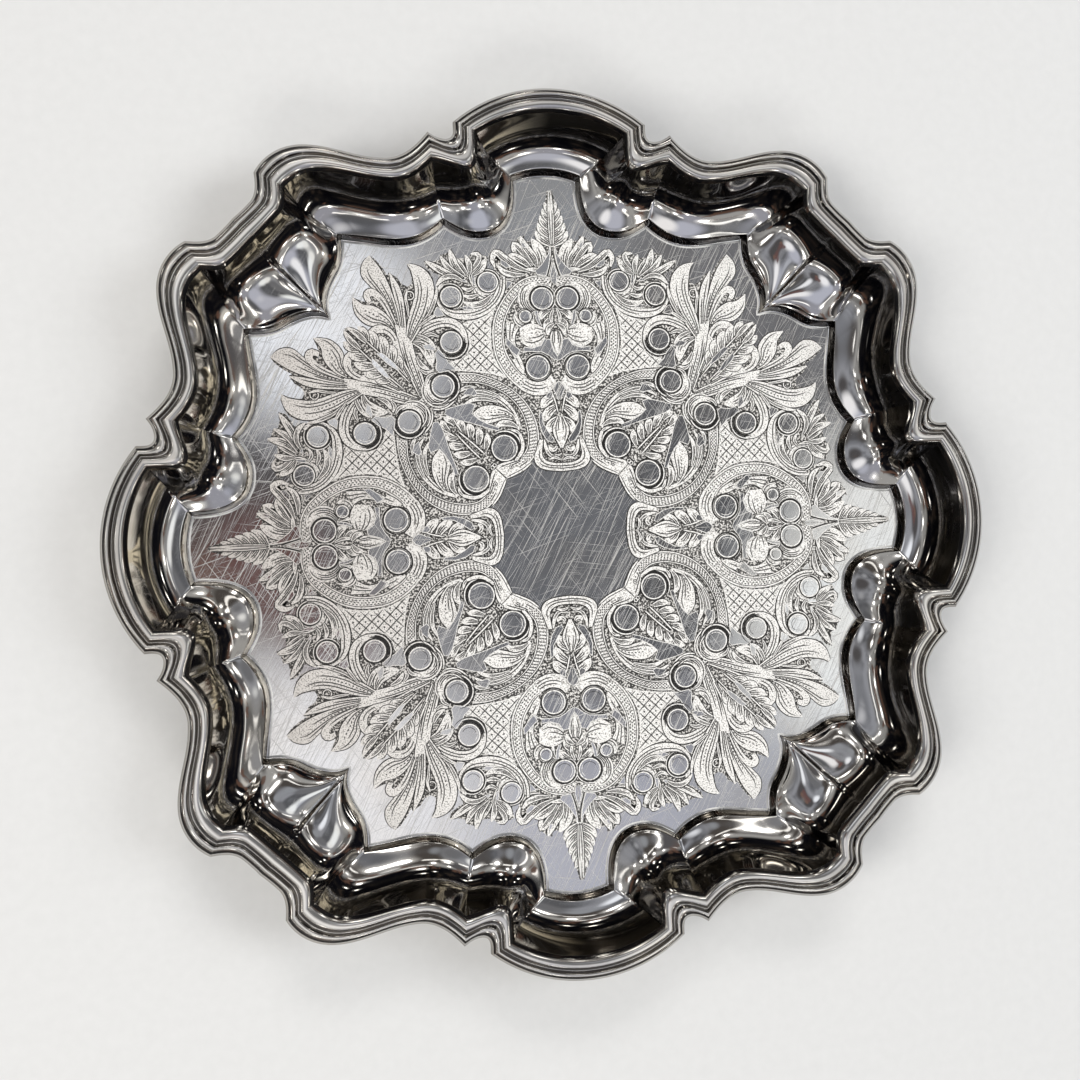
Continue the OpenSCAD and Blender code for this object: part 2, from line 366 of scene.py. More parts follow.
def fade(count):
    """Width shares thinning towards both ends."""
    return np.clip(np.minimum(np.linspace(.3, 6, count), np.linspace(6, .3, count)), .3, 1)


def closed(outline):
    return np.vstack([outline, outline[:1]])


def strip(a, b, grow=0.50):
    """A leaf or band between edges a and b: dark outline, frosted face, raised bright edges."""
    across = unit(b - a)
    raise_level()
    grounds.append((np.vstack([a - across * grow, (b + across * grow)[::-1]]), level))
    raise_level()
    leaf_faces.append((np.vstack([a, b[::-1]]), level))
    raise_level()
    burr(a, .15)
    burr(b, .15)
    raise_level()


def dashes(path, width, dash, phase=0.0):
    count = max(int(length(path) / dash), 1)
    u = np.linspace(0, 1, len(path))
    width = np.broadcast_to(width, len(path))
    for i in range(count):
        at = (i + .08 + np.array([0, .25, .5])) / count + phase / count
        if at[2] <= 1:
            cut(np.c_[np.interp(at, u, path[:, 0]), np.interp(at, u, path[:, 1])],
                np.interp(at, u, width) * np.array([.5, 1, .5]))


def cut_line(points, width, count, dash=None, phase=0.0):
    path = curve(points, count)
    width *= 1.35
    if dash is None:
        cut(path, width * fade(len(path)))
    else:
        dashes(path, width, dash, phase)


def hatch(a, b, spaces, dash=None, shade_b=True):
    """Cuts along a leaf, longer towards its shaded edge; `dash` breaks the middle one."""
    pieces = len(a) - 1
    wide = np.linalg.norm(a - b, axis=1)
    for k in range(1, spaces):
        f = k / spaces
        reach = .50 + .45 * (f if shade_b else 1 - f) - (.16 if k % 2 else 0)
        j = int(np.clip(round(pieces * reach), 2, pieces))
        path = (a * (1 - f) + b * f)[:j + 1]
        width = (np.minimum(.19, wide[:j + 1] / spaces * .34)
                 * np.clip(np.linspace(6, .3, j + 1), .3, 1))
        if dash and k == spaces // 2:
            dashes(path, np.minimum(width * 1.5, .24), dash)
        else:
            cut(path, width)


def band(edge_a, edge_b, spaces, dash=None, pieces=None):
    """A hatched shape between two drawn edges."""
    edge_a, edge_b = drawn(edge_a), drawn(edge_b)
    longest = max(length(curve(edge_a, 12)), length(curve(edge_b, 12)))
    pieces = pieces or int(np.clip(longest / 1.3, 5, 30))
    a, b = curve(edge_a, pieces), curve(edge_b, pieces)
    strip(a, b)
    hatch(a, b, spaces, dash or (1.3 if spaces > 4 else None))


def leaf(spine, width, spaces=4, belly=.55, base=.25):
    """A pointed leaf; `belly` is where it is widest, `base` its width share at the root."""
    spine = drawn(spine)
    pieces = int(np.clip(length(curve(spine, 12)) / 1.1, 6, 20))
    c = curve(spine, pieces)
    u = np.linspace(0, 1, pieces + 1)
    width = max(width - .30, .35)
    swelling = base + (1 - base) * np.sin(np.pi / 2 * u / belly)
    closing = np.maximum(np.cos(np.pi / 2 * (u - belly) / (1 - belly)), 0) ** .7
    reach = left_normals(c) * (width * np.where(u < belly, swelling, closing))[:, None]
    a, b = c + reach, c - reach
    strip(a, b, .46)
    hatch(a, b, spaces, shade_b=width > .9)


def leaf_row(rows, bend, belly, base):
    """Leaves given as (root x, root y, tip x, tip y, width), bent by `bend` in the middle."""
    for x0, y0, x1, y1, width in rows:
        middle = ((x0 + x1) / 2 + bend[0], (y0 + y1) / 2 + bend[1])
        leaf([(x0, y0), middle, (x1, y1)], width, 4, belly, base)


def edged(path, dark, bright, widths):
    """A bright line on a wider dark one."""
    raise_level()
    cut(path, dark * widths)
    raise_level()
    burr(path, bright * widths)


def line(points, width, count=None):
    points = drawn(points)
    path = curve(points, count or int(np.clip(length(curve(points, 12)) / 1.4, 3, 40)))
    edged(path, width + .26, width * .85, fade(len(path)))


def arc(center, radius, begin, end):
    count = max(int(abs(end - begin) / 360 * 2 * math.pi * radius), 5)
    a = np.radians(np.linspace(begin, end, count + 1))
    return drawn(center) + np.c_[np.cos(a), np.sin(a)] * radius


def ring(center, radius, width, begin=0, end=360):
    path = arc(center, radius, begin, end)
    edged(path, width + .28, width * .8,
          np.ones(len(path)) if end - begin >= 359 else fade(len(path)))


def crescent(center, r_in, r_out, begin, end, spaces):
    count = max(int(abs(end - begin) / 360 * 2 * math.pi * r_out / 1.2), 6) + 1
    a = np.radians(np.linspace(begin, end, count))
    belly = np.sin(np.linspace(0.12, math.pi - .12, count)) ** .6
    out = np.c_[np.cos(a), np.sin(a)]
    near = drawn(center) + out * r_in
    far = drawn(center) + out * (r_in + (r_out - r_in) * belly)[:, None]
    strip(near, far, .30)
    hatch(near, far, spaces)


def dashed_band(edge_a, edge_b, solid, dashed, width, dash, shift):
    """A long band. `solid` holds (share across, width), `dashed` the shares across."""
    a, b = curve(drawn(edge_a), 44), curve(drawn(edge_b), 44)
    strip(a, b, .4)
    for share, solid_width in solid:
        cut_line(a * (1 - share) + b * share, solid_width, 44)
    for k, share in enumerate(dashed):
        cut_line(a * (1 - share) + b * share, width, 44, dash, shift * k)


# ------------------------------------------------------------------ engraving, mark by mark
# The order matters: later marks lie on top. Arguments: leaf(spine, width, spaces, belly, base);
# band(edge, edge, spaces); ring(center, radius, width, from, to);
# crescent(center, inner radius, outer radius, from, to, spaces); line(points, width, pieces).

# cartouche band round the middle of each side
dashed_band(
    [(2.3, 92.2), (4.2, 92.9), (7.5, 93.3), (11.5, 92.6), (15.5, 90.5), (19, 87), (21.8, 83),
     (23.8, 79), (24.9, 74.5), (25, 69.5), (24.3, 64.5), (22.3, 60), (19.3, 55.8), (15.3, 52.2)],
    [(3.4, 88.6), (5.2, 89.5), (8, 89.9), (11, 89.2), (14, 87.4), (16.8, 84.5), (19, 81),
     (20.5, 77.3), (21.2, 73.5), (21.2, 69.5), (20.4, 65.5), (18.6, 62), (16, 58.6), (13.6, 56.6)],
    solid=((.14, .10), (.88, .10)), dashed=(.30, .50, .70), width=.19, dash=1.25, shift=.33)
# crescent closing the foot of the cartouche, round the lower eye
band([(15.8, 52.4), (12, 50.5), (8, 50.2), (4.9, 51.6), (2.9, 54.8)],
     [(13.6, 56.2), (11.5, 55), (9, 54.7), (6.5, 55.4), (4.6, 57.2)], 4)
ring((9.2, 60), 4.35, .36)
ring((9.2, 60), 5.25, .24, 35, 165)
ring((6.6, 85), 4.05, .34)
crescent((6.6, 85), 4.9, 8.6, -62, 72, 5)
ring((6.6, 85), 4.9, .22, 95, 250)
ring((13.3, 79), 2.1, .26)
crescent((13.3, 79), 2.7, 4.4, -150, 20, 3)
band([(6.8, 74.3), (9, 75.6), (12, 75.7), (15.2, 74.2)],
     [(6.2, 70.8), (8, 68.4), (11.4, 67.4), (15, 69.4)], 5)
band([(15.6, 74.6), (17.2, 71.5), (17, 68), (15.4, 65.2)],
     [(19.8, 77), (19.8, 71.5), (19.2, 67), (17, 63)], 3)
band([(16, 64.4), (14.8, 61.8), (14.2, 59.2)], [(18.2, 63), (16.6, 60), (14.6, 57.8)], 2)
leaf([(4, 80.6), (6.3, 79.8), (8.2, 77.3)], 1.5)
leaf([(3.2, 78.2), (5.2, 76.3), (6.2, 73.6)], 1.2)
leaf([(9.4, 80.4), (10.6, 78.4), (10.2, 75.8)], 1, 3)
leaf([(2.5, 81.5), (3.6, 78.5), (3.4, 75.6)], .8, 3)
leaf([(2.6, 75.8), (4.6, 74.2), (5.2, 71.8)], 1.1)
band([(2.05, 73), (2.05, 69), (2.1, 64.6)], [(3.4, 73), (4.2, 70), (2.3, 64.4)], 3)
leaf([(9.6, 65.8), (12, 66.3), (14.6, 65.6)], .6, 3)

# crest
ring((2.25, 104.4), .8, .22)
line([(2.6, 103.6), (3.3, 98.8), (4.9, 92.8)], .42, 9)
line([(2.1, 99), (3.1, 95.5), (3.9, 92.6)], .18, 5)
CREST_STEM_X = 2.3
for root_y, tip_y, reach, width in (
        (105.6, 109.3, 5.6, 1.8), (108.4, 112.3, 4.6, 1.7), (111.2, 115.0, 3.7, 1.5),
        (113.8, 117.5, 2.7, 1.25), (116.4, 119.9, 1.8, 1.0)):
    leaf([(CREST_STEM_X, root_y - 1.2), (CREST_STEM_X + reach * .62, root_y + 1.2),
          (CREST_STEM_X + reach, tip_y)], width, 4, .6, .5)
leaf([(2.25, 104.8), (2.5, 112), (2.5, 119), (2.4, 123.6)], .75, 3, .3, .7)
leaf([(6.8, 94.6), (5.9, 98), (6.6, 102), (9.4, 106.6)], 2.2)
leaf([(7.8, 96), (8.8, 99.5), (11.5, 103), (13.6, 107.6)], 1.7)
leaf([(9.2, 97), (12.2, 101), (15.6, 104.8), (16, 102.4), (14.6, 100.6)], 1.25, 4, .5)
leaf([(10, 96), (13, 98.6), (16.4, 100.4), (19, 100)], 1.5)
leaf([(11, 94.8), (15.5, 96.6), (19.6, 99.6), (22.4, 101.8), (24, 99.4), (23.2, 96.4)], 1.45, 4, .5)
leaf([(12.6, 93.6), (16.6, 93.6), (20.2, 94.8), (22.2, 97.2)], 1.2)
leaf([(4.8, 93.7), (8, 95.3), (12, 95.6)], .95, 3)
leaf([(16.5, 92), (19, 91.6), (20.4, 93.2)], .8, 3)

# paired eyes with a C scroll and a spray of flowers
ring((26, 91), 3.45, .34)
ring((26, 91), 4.5, .22, -40, 190)
crescent((26, 91), 4.2, 6.4, -135, -5, 3)
ring((39.6, 85.8), 3.65, .34)
ring((39.6, 85.8), 4.75, .22, 30, 250)
band([(19.8, 92.6), (19.9, 89.5), (20.8, 86.4), (22.8, 83.2), (26, 80.4), (30, 78.5), (34.5, 77.8),
      (39, 78.6), (42.4, 80.8), (44.3, 84), (44.4, 87.5), (42.6, 91)],
     [(22.4, 91.4), (22.7, 88.6), (24, 86), (26.5, 83.5), (29.6, 81.8), (33.2, 80.9), (36.5, 80.8),
      (39.6, 81), (42, 82.6), (43.3, 85.3), (43.1, 87.8), (41.8, 90.2)], 3, pieces=34)
leaf([(24.6, 86.4), (28, 83.6), (32, 82.9), (35, 84)], 1.3)
leaf([(29.4, 86.6), (32.6, 85.6), (35, 86.4)], .9, 3)
leaf([(30.6, 89.6), (33, 88.2), (35.4, 89.2)], .8, 3)
leaf([(31.6, 93.4), (28.6, 95.6), (26.2, 99.4)], 1.5)
leaf([(32, 94.6), (29.2, 98.4), (28.8, 101), (31.6, 101.2)], 1.1)
leaf([(32.2, 93.8), (32.4, 97.6), (33.6, 100.8)], 1.2)
leaf([(33, 93.6), (35.2, 96.6), (37.2, 99.8)], 1.2)
leaf([(34, 93.2), (37.4, 97), (39.2, 102.8)], 1.5)
leaf([(35, 93.2), (39.6, 96), (42.6, 100.6)], 1.2)
leaf([(35.6, 92.6), (41.2, 94.6), (47.8, 98.6)], 1.35)
leaf([(34.6, 91.4), (38.4, 93.2), (42, 92.4), (44.4, 89.8)], 1.1)
line([(32.4, 94), (32.2, 91.6), (31, 89)], .3)

# diaper ground: crossed diagonal lines with a dot in each lozenge
DIAPER = drawn([
    (20.8, 56.6), (23.4, 60.4), (25.4, 64.6), (26, 69.5), (25.8, 75), (25, 79), (23.6, 81.8),
    (26.6, 79.2), (30, 77.6), (34.6, 76.6), (36.4, 75.6), (34.2, 72.4), (33.4, 69), (34.4, 65.6),
    (37, 63.4), (40, 62.6), (42.6, 61), (40.6, 59.6), (36, 59.4), (31, 58.9), (26, 58.2)])
DIAPER_PITCH = 4.3
DIAPER_ORIGIN = np.array([30, 68.0])


def in_diaper(point):
    x, y = point
    odd = False
    for (ax, ay), (bx, by) in zip(DIAPER, np.roll(DIAPER, 1, 0)):
        if (ay > y) != (by > y) and x < (bx - ax) * (y - ay) / (by - ay + 1e-12) + ax:
            odd = not odd
    return odd


def diaper_line(index, sign):
    """Walk a diagonal and cut it wherever it crosses the ground."""
    offset = np.array([-sign, 1]) / math.sqrt(2) * DIAPER_PITCH * .7071 * index
    run = []
    for u in np.linspace(-60, 60, 241):
        point = np.array([u, sign * u]) / math.sqrt(2) + DIAPER_ORIGIN + offset
        if in_diaper(point):
            run.append(point)
        elif run:
            if len(run) > 4:
                cut_line(np.array([run[0], run[len(run) // 2], run[-1]]), .14, max(len(run) // 4, 2))
            run = []


raise_level()
leaf_faces.append((DIAPER, level))
raise_level()
burr(closed(DIAPER), .16)
for i in range(-14, 34):
    diaper_line(i, 1)
    diaper_line(i, -1)
for i in range(-12, 40):
    for j in range(-20, 44):
        dot = DIAPER_ORIGIN + np.array([(i - j) * DIAPER_PITCH / 2, (i + j + 1) * DIAPER_PITCH / 2])
        if in_diaper(dot):
            cut(dot + np.array([[-.34, -.1], [0, 0], [.34, .1]]), np.array([.14, .34, .14]))

# eye and scroll beside the diaper
ring((40, 69.6), 4, .34)
ring((40, 69.6), 5.7, .26, 165, 335)
band([(53.4, 72.6), (50.4, 75.6), (46, 77.6), (41, 78.3), (36.8, 76.6), (34.6, 73), (34.2, 69.4)],
     [(51.6, 70.2), (48.6, 73), (44.6, 75), (40.6, 75.3), (37.7, 74), (35.9, 71.8), (35.2, 69.4)], 3)
leaf([(44.6, 71.8), (47.4, 72.6), (51.4, 70.6)], .9, 3)

# plume of leaves
band([(49.8, 50.8), (50.2, 55), (51.4, 60), (53, 65), (54, 70), (54.6, 75)],
     [(52.2, 51), (54.4, 56), (56.4, 61), (57.6, 66), (58.5, 71), (59.4, 76)], 6)
leaf([(53.4, 69.8), (50.2, 68.6), (48, 65.6), (47.2, 61.4)], 2.1)
leaf([(52.4, 64.6), (50.8, 61.6), (48.2, 60)], 1, 3)
leaf([(51.2, 60), (49.4, 58.8), (47.2, 59.6)], .8, 3)
leaf([(54.2, 72.6), (50.6, 71.8), (47.4, 70), (45.6, 67.6)], .9, 3)
band([(54, 70), (50.6, 75), (47.8, 79), (46, 84), (45.4, 89), (46.4, 93), (49, 96), (52, 97.3),
      (54.4, 97.6)],
     [(55.6, 72), (55, 76), (54, 80), (52.6, 84), (51.8, 88), (52.2, 92), (52.8, 95), (53.6, 96.6),
      (54.4, 97.6)], 6)
leaf([(49.6, 77.2), (47, 80.4), (44.8, 85.6), (44.2, 89.4)], .8, 3)
leaf([(51, 75.6), (47, 78.4), (43.6, 80.2)], .7, 3)
ring((53.9, 86.4), 1.5, .24)
leaf([(54.6, 79), (54.9, 82.6), (55.4, 85.6), (54.6, 88.4)], .6, 3)
band([(55.8, 75), (56, 80), (56.4, 85), (57.6, 89.6), (60.6, 94.6)],
     [(57.6, 75), (58, 80), (58.9, 85), (60, 90), (60.6, 94.6)], 3)
band([(57.8, 75.6), (58.6, 81), (60, 86.5), (61.7, 91.5), (64, 96), (67.4, 100.6)],
     [(59, 76), (61, 81), (64, 86), (67, 89.6), (69.9, 93), (70.3, 96), (69.3, 98.6),
      (67.4, 100.6)], 6)
band([(59.3, 77), (61.5, 82.5), (64, 86.6), (66.8, 88.8), (69.2, 88.2), (69.8, 86), (68.6, 84)],
     [(60.4, 77), (62.8, 81.8), (65, 85), (66.8, 86.5), (67.8, 86.3), (67.9, 85.5),
      (67.3, 84.5)], 2)
band([(59.8, 75), (61.5, 78.5), (64.3, 81.3), (67.3, 82.8), (70.3, 83.2), (73.8, 85.8)],
     [(60.2, 73), (62.3, 75.1), (65, 76.1), (68, 76), (71, 77.8), (73.2, 81), (73.8, 85.8)], 5)
band([(58.7, 70), (60, 73.2), (62.5, 75.4), (65.8, 75.8), (68.4, 74.2), (67.9, 71.6)],
     [(59.6, 68.6), (61.2, 71.8), (63.2, 73.3), (65.5, 73.4), (66.6, 72.8), (66.5, 71.8)], 2)
band([(54, 56.6), (56.5, 62), (58.2, 67), (58.9, 71)],
     [(56.2, 57.6), (58.6, 62), (60, 66), (60.4, 69.6)], 3)

# toothed leaf on the diagonal
leaf_row(((58.6, 59.8, 60.2, 65.4, 1.7), (61.2, 62.4, 61.9, 69.2, 1.9), (63.8, 65, 64.9, 72.2, 1.9),
          (66.6, 67.8, 68.8, 74, 1.8), (69.4, 70.4, 72.4, 75.6, 1.5)), (-.7, .2), .62, .45)
leaf([(69.6, 70), (73.2, 73.4), (76.4, 75.4)], 1.2, 4, .4, .5)
line([(55.2, 55.4), (62, 62.8), (71, 71.6)], .26, 12)
line([(56.6, 58), (60.2, 62.3), (64, 65.6)], .2, 5)
ring((50.6, 49.6), .8, .24)

# eye at the root of the plume
ring((43.6, 54), 4.15, .34)
ring((43.6, 54), 5.7, .28, 95, 275)
crescent((43.6, 54), 4.9, 8.2, -112, 28, 5)
leaf([(46.6, 58.6), (48.6, 57.4), (49.6, 54.4)], .8, 3)
line([(39.6, 48.8), (42.4, 46.6), (45.2, 45.8), (47.8, 46)], .3, 8)
line([(41.2, 50), (44.6, 47.9), (48.4, 48.2)], .22, 6)

# great C scroll of the inner ring
dashed_band(
    [(38.4, 58.6), (33, 58.3), (28, 57), (23, 54.8), (18, 51.4), (14, 47), (11.4, 42), (10.3, 37),
     (10.5, 32), (12, 28.4), (14.6, 25.4)],
    [(37, 55.2), (31, 55), (26, 53.4), (21.5, 50.8), (18, 47.4), (15.6, 43.4), (14.3, 39),
     (13.9, 35), (14.5, 31.2), (16, 28.8), (18, 27.2)],
    solid=((.12, .10), (.90, .12)), dashed=(.26, .42, .58, .74, .88), width=.18, dash=1.2, shift=.3)
band([(35, 52.6), (30, 52.6), (25, 51), (20.6, 47.4), (17.8, 43), (16.4, 38.6)],
     [(33, 49.6), (28, 49.8), (23.4, 47.6), (19.8, 44.2), (17.9, 40.6), (17.4, 37.2)], 3)
leaf([(24, 49.6), (29, 51.4), (33.4, 51.6), (37.6, 49.4)], .9, 3)
leaf([(24.6, 48), (29, 49.2), (33, 49), (36.4, 47.4)], .9, 3)
leaf([(32, 53.4), (35.4, 53.4), (38.6, 51.6)], .8, 3)
band([(18.8, 43), (22, 45.4), (26, 46.6), (30.4, 46.2), (33.6, 43.8)],
     [(19.4, 41.4), (22.4, 42), (26, 41), (29.6, 40.6), (33.6, 43.4)], 5)
leaf([(17.6, 38.6), (20, 40), (23.4, 40.2), (25.6, 38.8)], 1.3)
leaf([(16.6, 35.8), (18, 37.2), (20, 37.8)], .6, 3)
ring((22.6, 31.5), 4.75, .40)
ring((22.6, 31.5), 5.95, .28, 55, 275)
band([(16.6, 36.4), (15.6, 33), (16.2, 29.6), (18.6, 26.6)],
     [(17.4, 36.4), (16.5, 33), (17, 30), (19.4, 27.4)], 1)

# stippled corner of the middle panel
band([(13.6, 26.2), (16.4, 24.2), (19.6, 22.6), (22.6, 21)],
     [(19.6, 26.8), (22.4, 26.2), (24.6, 25.6), (26.4, 24.6)], 5, dash=1.2)
line([(13, 26), (16, 23.6), (19.4, 21.9), (22.4, 20.6)], .34, 9)
ring((26.6, 25.3), .7, .2)
ring((20.6, 24.6), .5, .15)

# palmette between the inner eyes
leaf_row(((29.6, 31, 28.8, 36.6, 1.35), (32, 33.2, 31.8, 38.8, 1.5), (34.6, 35.6, 35.4, 40.4, 1.6),
          (37.2, 37.8, 39.4, 41.8, 1.6), (40, 40.2, 43.8, 42.8, 1.4)), (-.5, .2), .62, .5)
line([(29.6, 29.2), (34, 33.4), (39, 37.8)], .30, 8)

# drop leaf and foot of each side
leaf_row(((3.2, 49.8, 8.8, 45.4, 1.8), (3.2, 46, 7.9, 40.6, 1.8), (3, 41.6, 6.6, 36.2, 1.7)),
         (.7, .5), .6, .5)
band([(2.05, 42), (2.05, 37), (2.2, 31)], [(3, 42), (4.8, 37), (2.3, 30.8)], 3)
line([(5.2, 51.6), (3.8, 48.4), (2.7, 43.6)], .28, 6)
line([(3.6, 53), (3, 50.4), (2.4, 48)], .22, 4)
band([(2.1, 22.6), (5, 22.9), (8, 23.3), (10.8, 24.6), (12, 27.2), (11, 30.6), (9.8, 34)],
     [(2.1, 25.2), (5, 25.3), (7.4, 26), (8.9, 27.2), (9.5, 29), (9.2, 31.4), (8.8, 34)], 3)
leaf([(2.8, 28.4), (5.8, 28), (7.6, 30.4), (8.2, 33.8)], .8, 3)
leaf([(2.4, 26.6), (4.4, 27.4), (6.4, 27)], .6, 3)
crescent((5.2, 32), 1.2, 2.4, 200, 340, 2)

# outline of the frosted field
FIELD = drawn([
    (2, 22.6), (5, 23), (8, 22.5), (10.5, 24), (11.8, 26.3), (12.6, 26.8), (14, 24.8), (16, 23.2),
    (18.2, 22), (20.6, 21.6), (22.2, 20.2), (77.2, 75.2), (75.8, 74.9), (72, 74.5), (69.5, 73.5),
    (67, 74.2), (67.8, 75.6), (70.4, 76.8), (72.4, 79.6), (73.5, 83), (73.7, 86), (71, 84.8),
    (68.5, 84.1), (66.6, 84.5), (68.5, 84.8), (69.2, 87.2), (67.6, 88.6), (67.4, 90), (69.4, 92.2),
    (70.5, 95.5), (69.4, 98.8), (67.3, 100.8), (65.4, 99.4), (63.1, 96.6), (61.4, 93.7),
    (60.9, 94.8), (58, 92.9), (56.5, 90.6), (54.5, 89.7), (52.8, 90.6), (52.9, 92.5), (53.5, 95.5),
    (54.5, 97.8), (51.5, 97.5), (49, 96.7), (46.7, 95.1), (45.4, 92.5), (45, 89), (45.2, 86),
    (44.7, 84.4), (44.3, 87.5), (43.9, 91), (43.2, 93.7), (45, 94.5), (47.5, 96.3), (48.4, 98.8),
    (45.5, 98.5), (42.5, 99.2), (42.5, 100.8), (40.2, 101.5), (38.3, 103.1), (37.9, 100.4),
    (36.5, 99.7), (33, 99.6), (32, 100.9), (29.5, 101.3), (27, 100.7), (25.3, 100.1), (26, 96.5),
    (25.8, 95.3), (23.4, 95), (24, 97.5), (24.1, 100.2), (22.6, 102), (20.6, 101.6), (19.6, 100.1),
    (17.8, 99.9), (15.2, 100.6), (16.4, 102.5), (16, 105.4), (14.2, 107.2), (11.9, 107.9),
    (12.2, 105.9), (9.5, 105.9), (6.8, 106.2), (7.7, 107.6), (7.8, 109.6), (6.4, 111),
    (6.3, 112.8), (5.1, 114.5), (5.3, 116.5), (4.3, 118.5), (3.5, 121.5), (2.9, 124), (2, 124.2)])
# bright bare gaps between the leaves
GAPS = (
    [(2.9, 104), (3.5, 101), (4.9, 99), (6.3, 97), (8.7, 94.9), (8, 93.6), (4.8, 93.2), (3.8, 96),
     (3.1, 99.5), (2.7, 103)],
    [(2, 98), (3.2, 93.4), (2.9, 91.2), (2, 90)],
    [(4.4, 70), (6.3, 70.3), (7.8, 68), (11, 67), (14, 67.4), (14, 65.9), (11, 65.8), (7.6, 65.6),
     (5.2, 64.4), (3.5, 63), (2, 62.4), (2, 64), (3.3, 66)],
    [(15.5, 66.4), (17, 67.6), (19.3, 70), (20.4, 70.8), (20.6, 68.8), (18.5, 65.8), (16.7, 64.4)],
    [(2, 55), (3.6, 53.6), (4.1, 52.2), (3.1, 50), (2.6, 48.4), (2, 48.4)],
    [(4.6, 51.4), (6.4, 50.5), (6.8, 49.2), (5.4, 48.4), (4.5, 49.3)],
    [(9.5, 44.4), (9.8, 40), (8.8, 36.2), (7.2, 33.6), (5.2, 32.8), (4.6, 34), (6.6, 36.8),
     (8.4, 40), (8.6, 43.6)],
    [(32.6, 47), (34.5, 47.8), (37.5, 47.2), (40.5, 46.5), (43.2, 45.6), (43.4, 44), (41, 42.6),
     (38, 41.6), (35, 40.9), (31, 39.6), (27.5, 38.4), (24.6, 37.6), (24.4, 38.8), (28, 40),
     (31.4, 41.8), (33.8, 44), (33, 46)],
    [(38.8, 60), (41, 59.5), (44.7, 58.9), (45.8, 60), (45.4, 63), (46, 65.6), (44.7, 67.2),
     (42.6, 64.8), (41.4, 62.4)],
    [(45.4, 67), (47.5, 69), (50.2, 68.6), (49.3, 67.3), (47, 66.8)],
    [(31.2, 81.3), (33.6, 82.6), (36.2, 81.9), (34.6, 81.1)],
    [(42, 79.2), (43.5, 81.6), (44.6, 82.2), (45.7, 79.8), (44.6, 78.7)],
    [(17.1, 90.8), (19.3, 91.3), (19.2, 88.4)],
    [(11.6, 103.4), (12.4, 105), (13.3, 105.2), (12.9, 103.4)],
    [(17.6, 96.3), (19, 98), (21, 99), (20.9, 97.4), (19.4, 96.2)],
    [(30.4, 90), (30.8, 93), (31.7, 93.6), (31.5, 90.4)],
    [(33.2, 91), (34.4, 92.1), (35.6, 91.2)],
    [(58.8, 59.6), (60, 62.2), (63.2, 65.2), (64.6, 66.2), (66.4, 66), (62.6, 62.2)],
    [(8.5, 80.4), (9.5, 80.3), (9.2, 77.6), (8.3, 75.6), (7.4, 75.4), (8.2, 77.8)],
    [(31.6, 51.1), (33, 53.4), (35, 52.9), (36.7, 51), (34.6, 50.7), (32.7, 50.3)])
for points in GAPS:
    outline = drawn(points)
    mirrors.append((outline, level + 3))
    burr(closed(outline), .13, above=5)

# bright round eyes: center, radius
for center, radius in (((6.6, 84.9), 3.65), ((9.3, 60.1), 3.9), ((13, 78.5), 1.9), ((26, 91), 3.3),
                       ((39.4, 85.8), 3.4), ((40, 69.6), 3.55), ((43.6, 54), 3.7),
                       ((22.7, 31.4), 4.3)):
    raise_level()
    cut(arc(center, radius + .30, 0, 360), .40)
    raise_level()
    burr(arc(center, radius + .18, 0, 360), .22)
    angles = np.linspace(0, 2 * math.pi, 37)[:-1]
    disc = np.c_[np.cos(angles), np.sin(angles)] * (radius - .05) + drawn(center)
    mirrors.append((disc, level + 3))
    raise_level(4)
    cut(arc(center, radius * .74, 200, 330), .10)
    burr(arc(center, radius * .80, 130, 215), .10)
# cut arcs beside the eyes: center, radius, from, to, width
for *spec, width in (((40, 69.6), 4.85, 160, 300, .26), ((43.6, 54), 4.95, 95, 250, .26),
                     ((26, 91), 4, -60, 60, .16), ((6.6, 84.9), 4.6, -80, 80, .22),
                     ((9.3, 60.1), 4.8, 20, 170, .16), ((22.7, 31.4), 5.2, 60, 250, .18),
                     ((39.4, 85.8), 4.3, -90, 60, .16), ((40, 69.6), 6.2, 160, 330, .13),
                     ((43.6, 54), 6.2, 95, 270, .13)):
    path = arc(*spec)
    cut(path, width * fade(len(path)))

# ------------------------------------------------------------------ engraving meshes
LIFT = .004                         # the lowest mark above the flat
ORNAMENT_AT = np.array([1.8, -0.3])     # the whole ornament sits a little off centre


def slab_mesh(outlines, sunk, flip):
    """Closed thin plates, each with its own level, their bases `sunk` below the flat."""
    verts, faces = [], []
    base = 0
    for q, mark_level in outlines:
        n = len(q)
        if np.sum(q[:, 0] * np.roll(q[:, 1], -1) - np.roll(q[:, 0], -1) * q[:, 1]) < 0:
            q = q[::-1]
        verts += [ring_at(q, SHEET - sunk), ring_at(q, SHEET + LIFT + mark_level * LEVEL_STEP)]
        plate = [[base + n + i for i in range(n)], [base + i for i in range(n)][::-1]]
        plate += [[base + i, base + (i + 1) % n, base + n + (i + 1) % n, base + n + i]
                  for i in range(n)]
        faces += [face[::-1] for face in plate] if flip else plate
        base += 2 * n
    return np.vstack(verts), faces


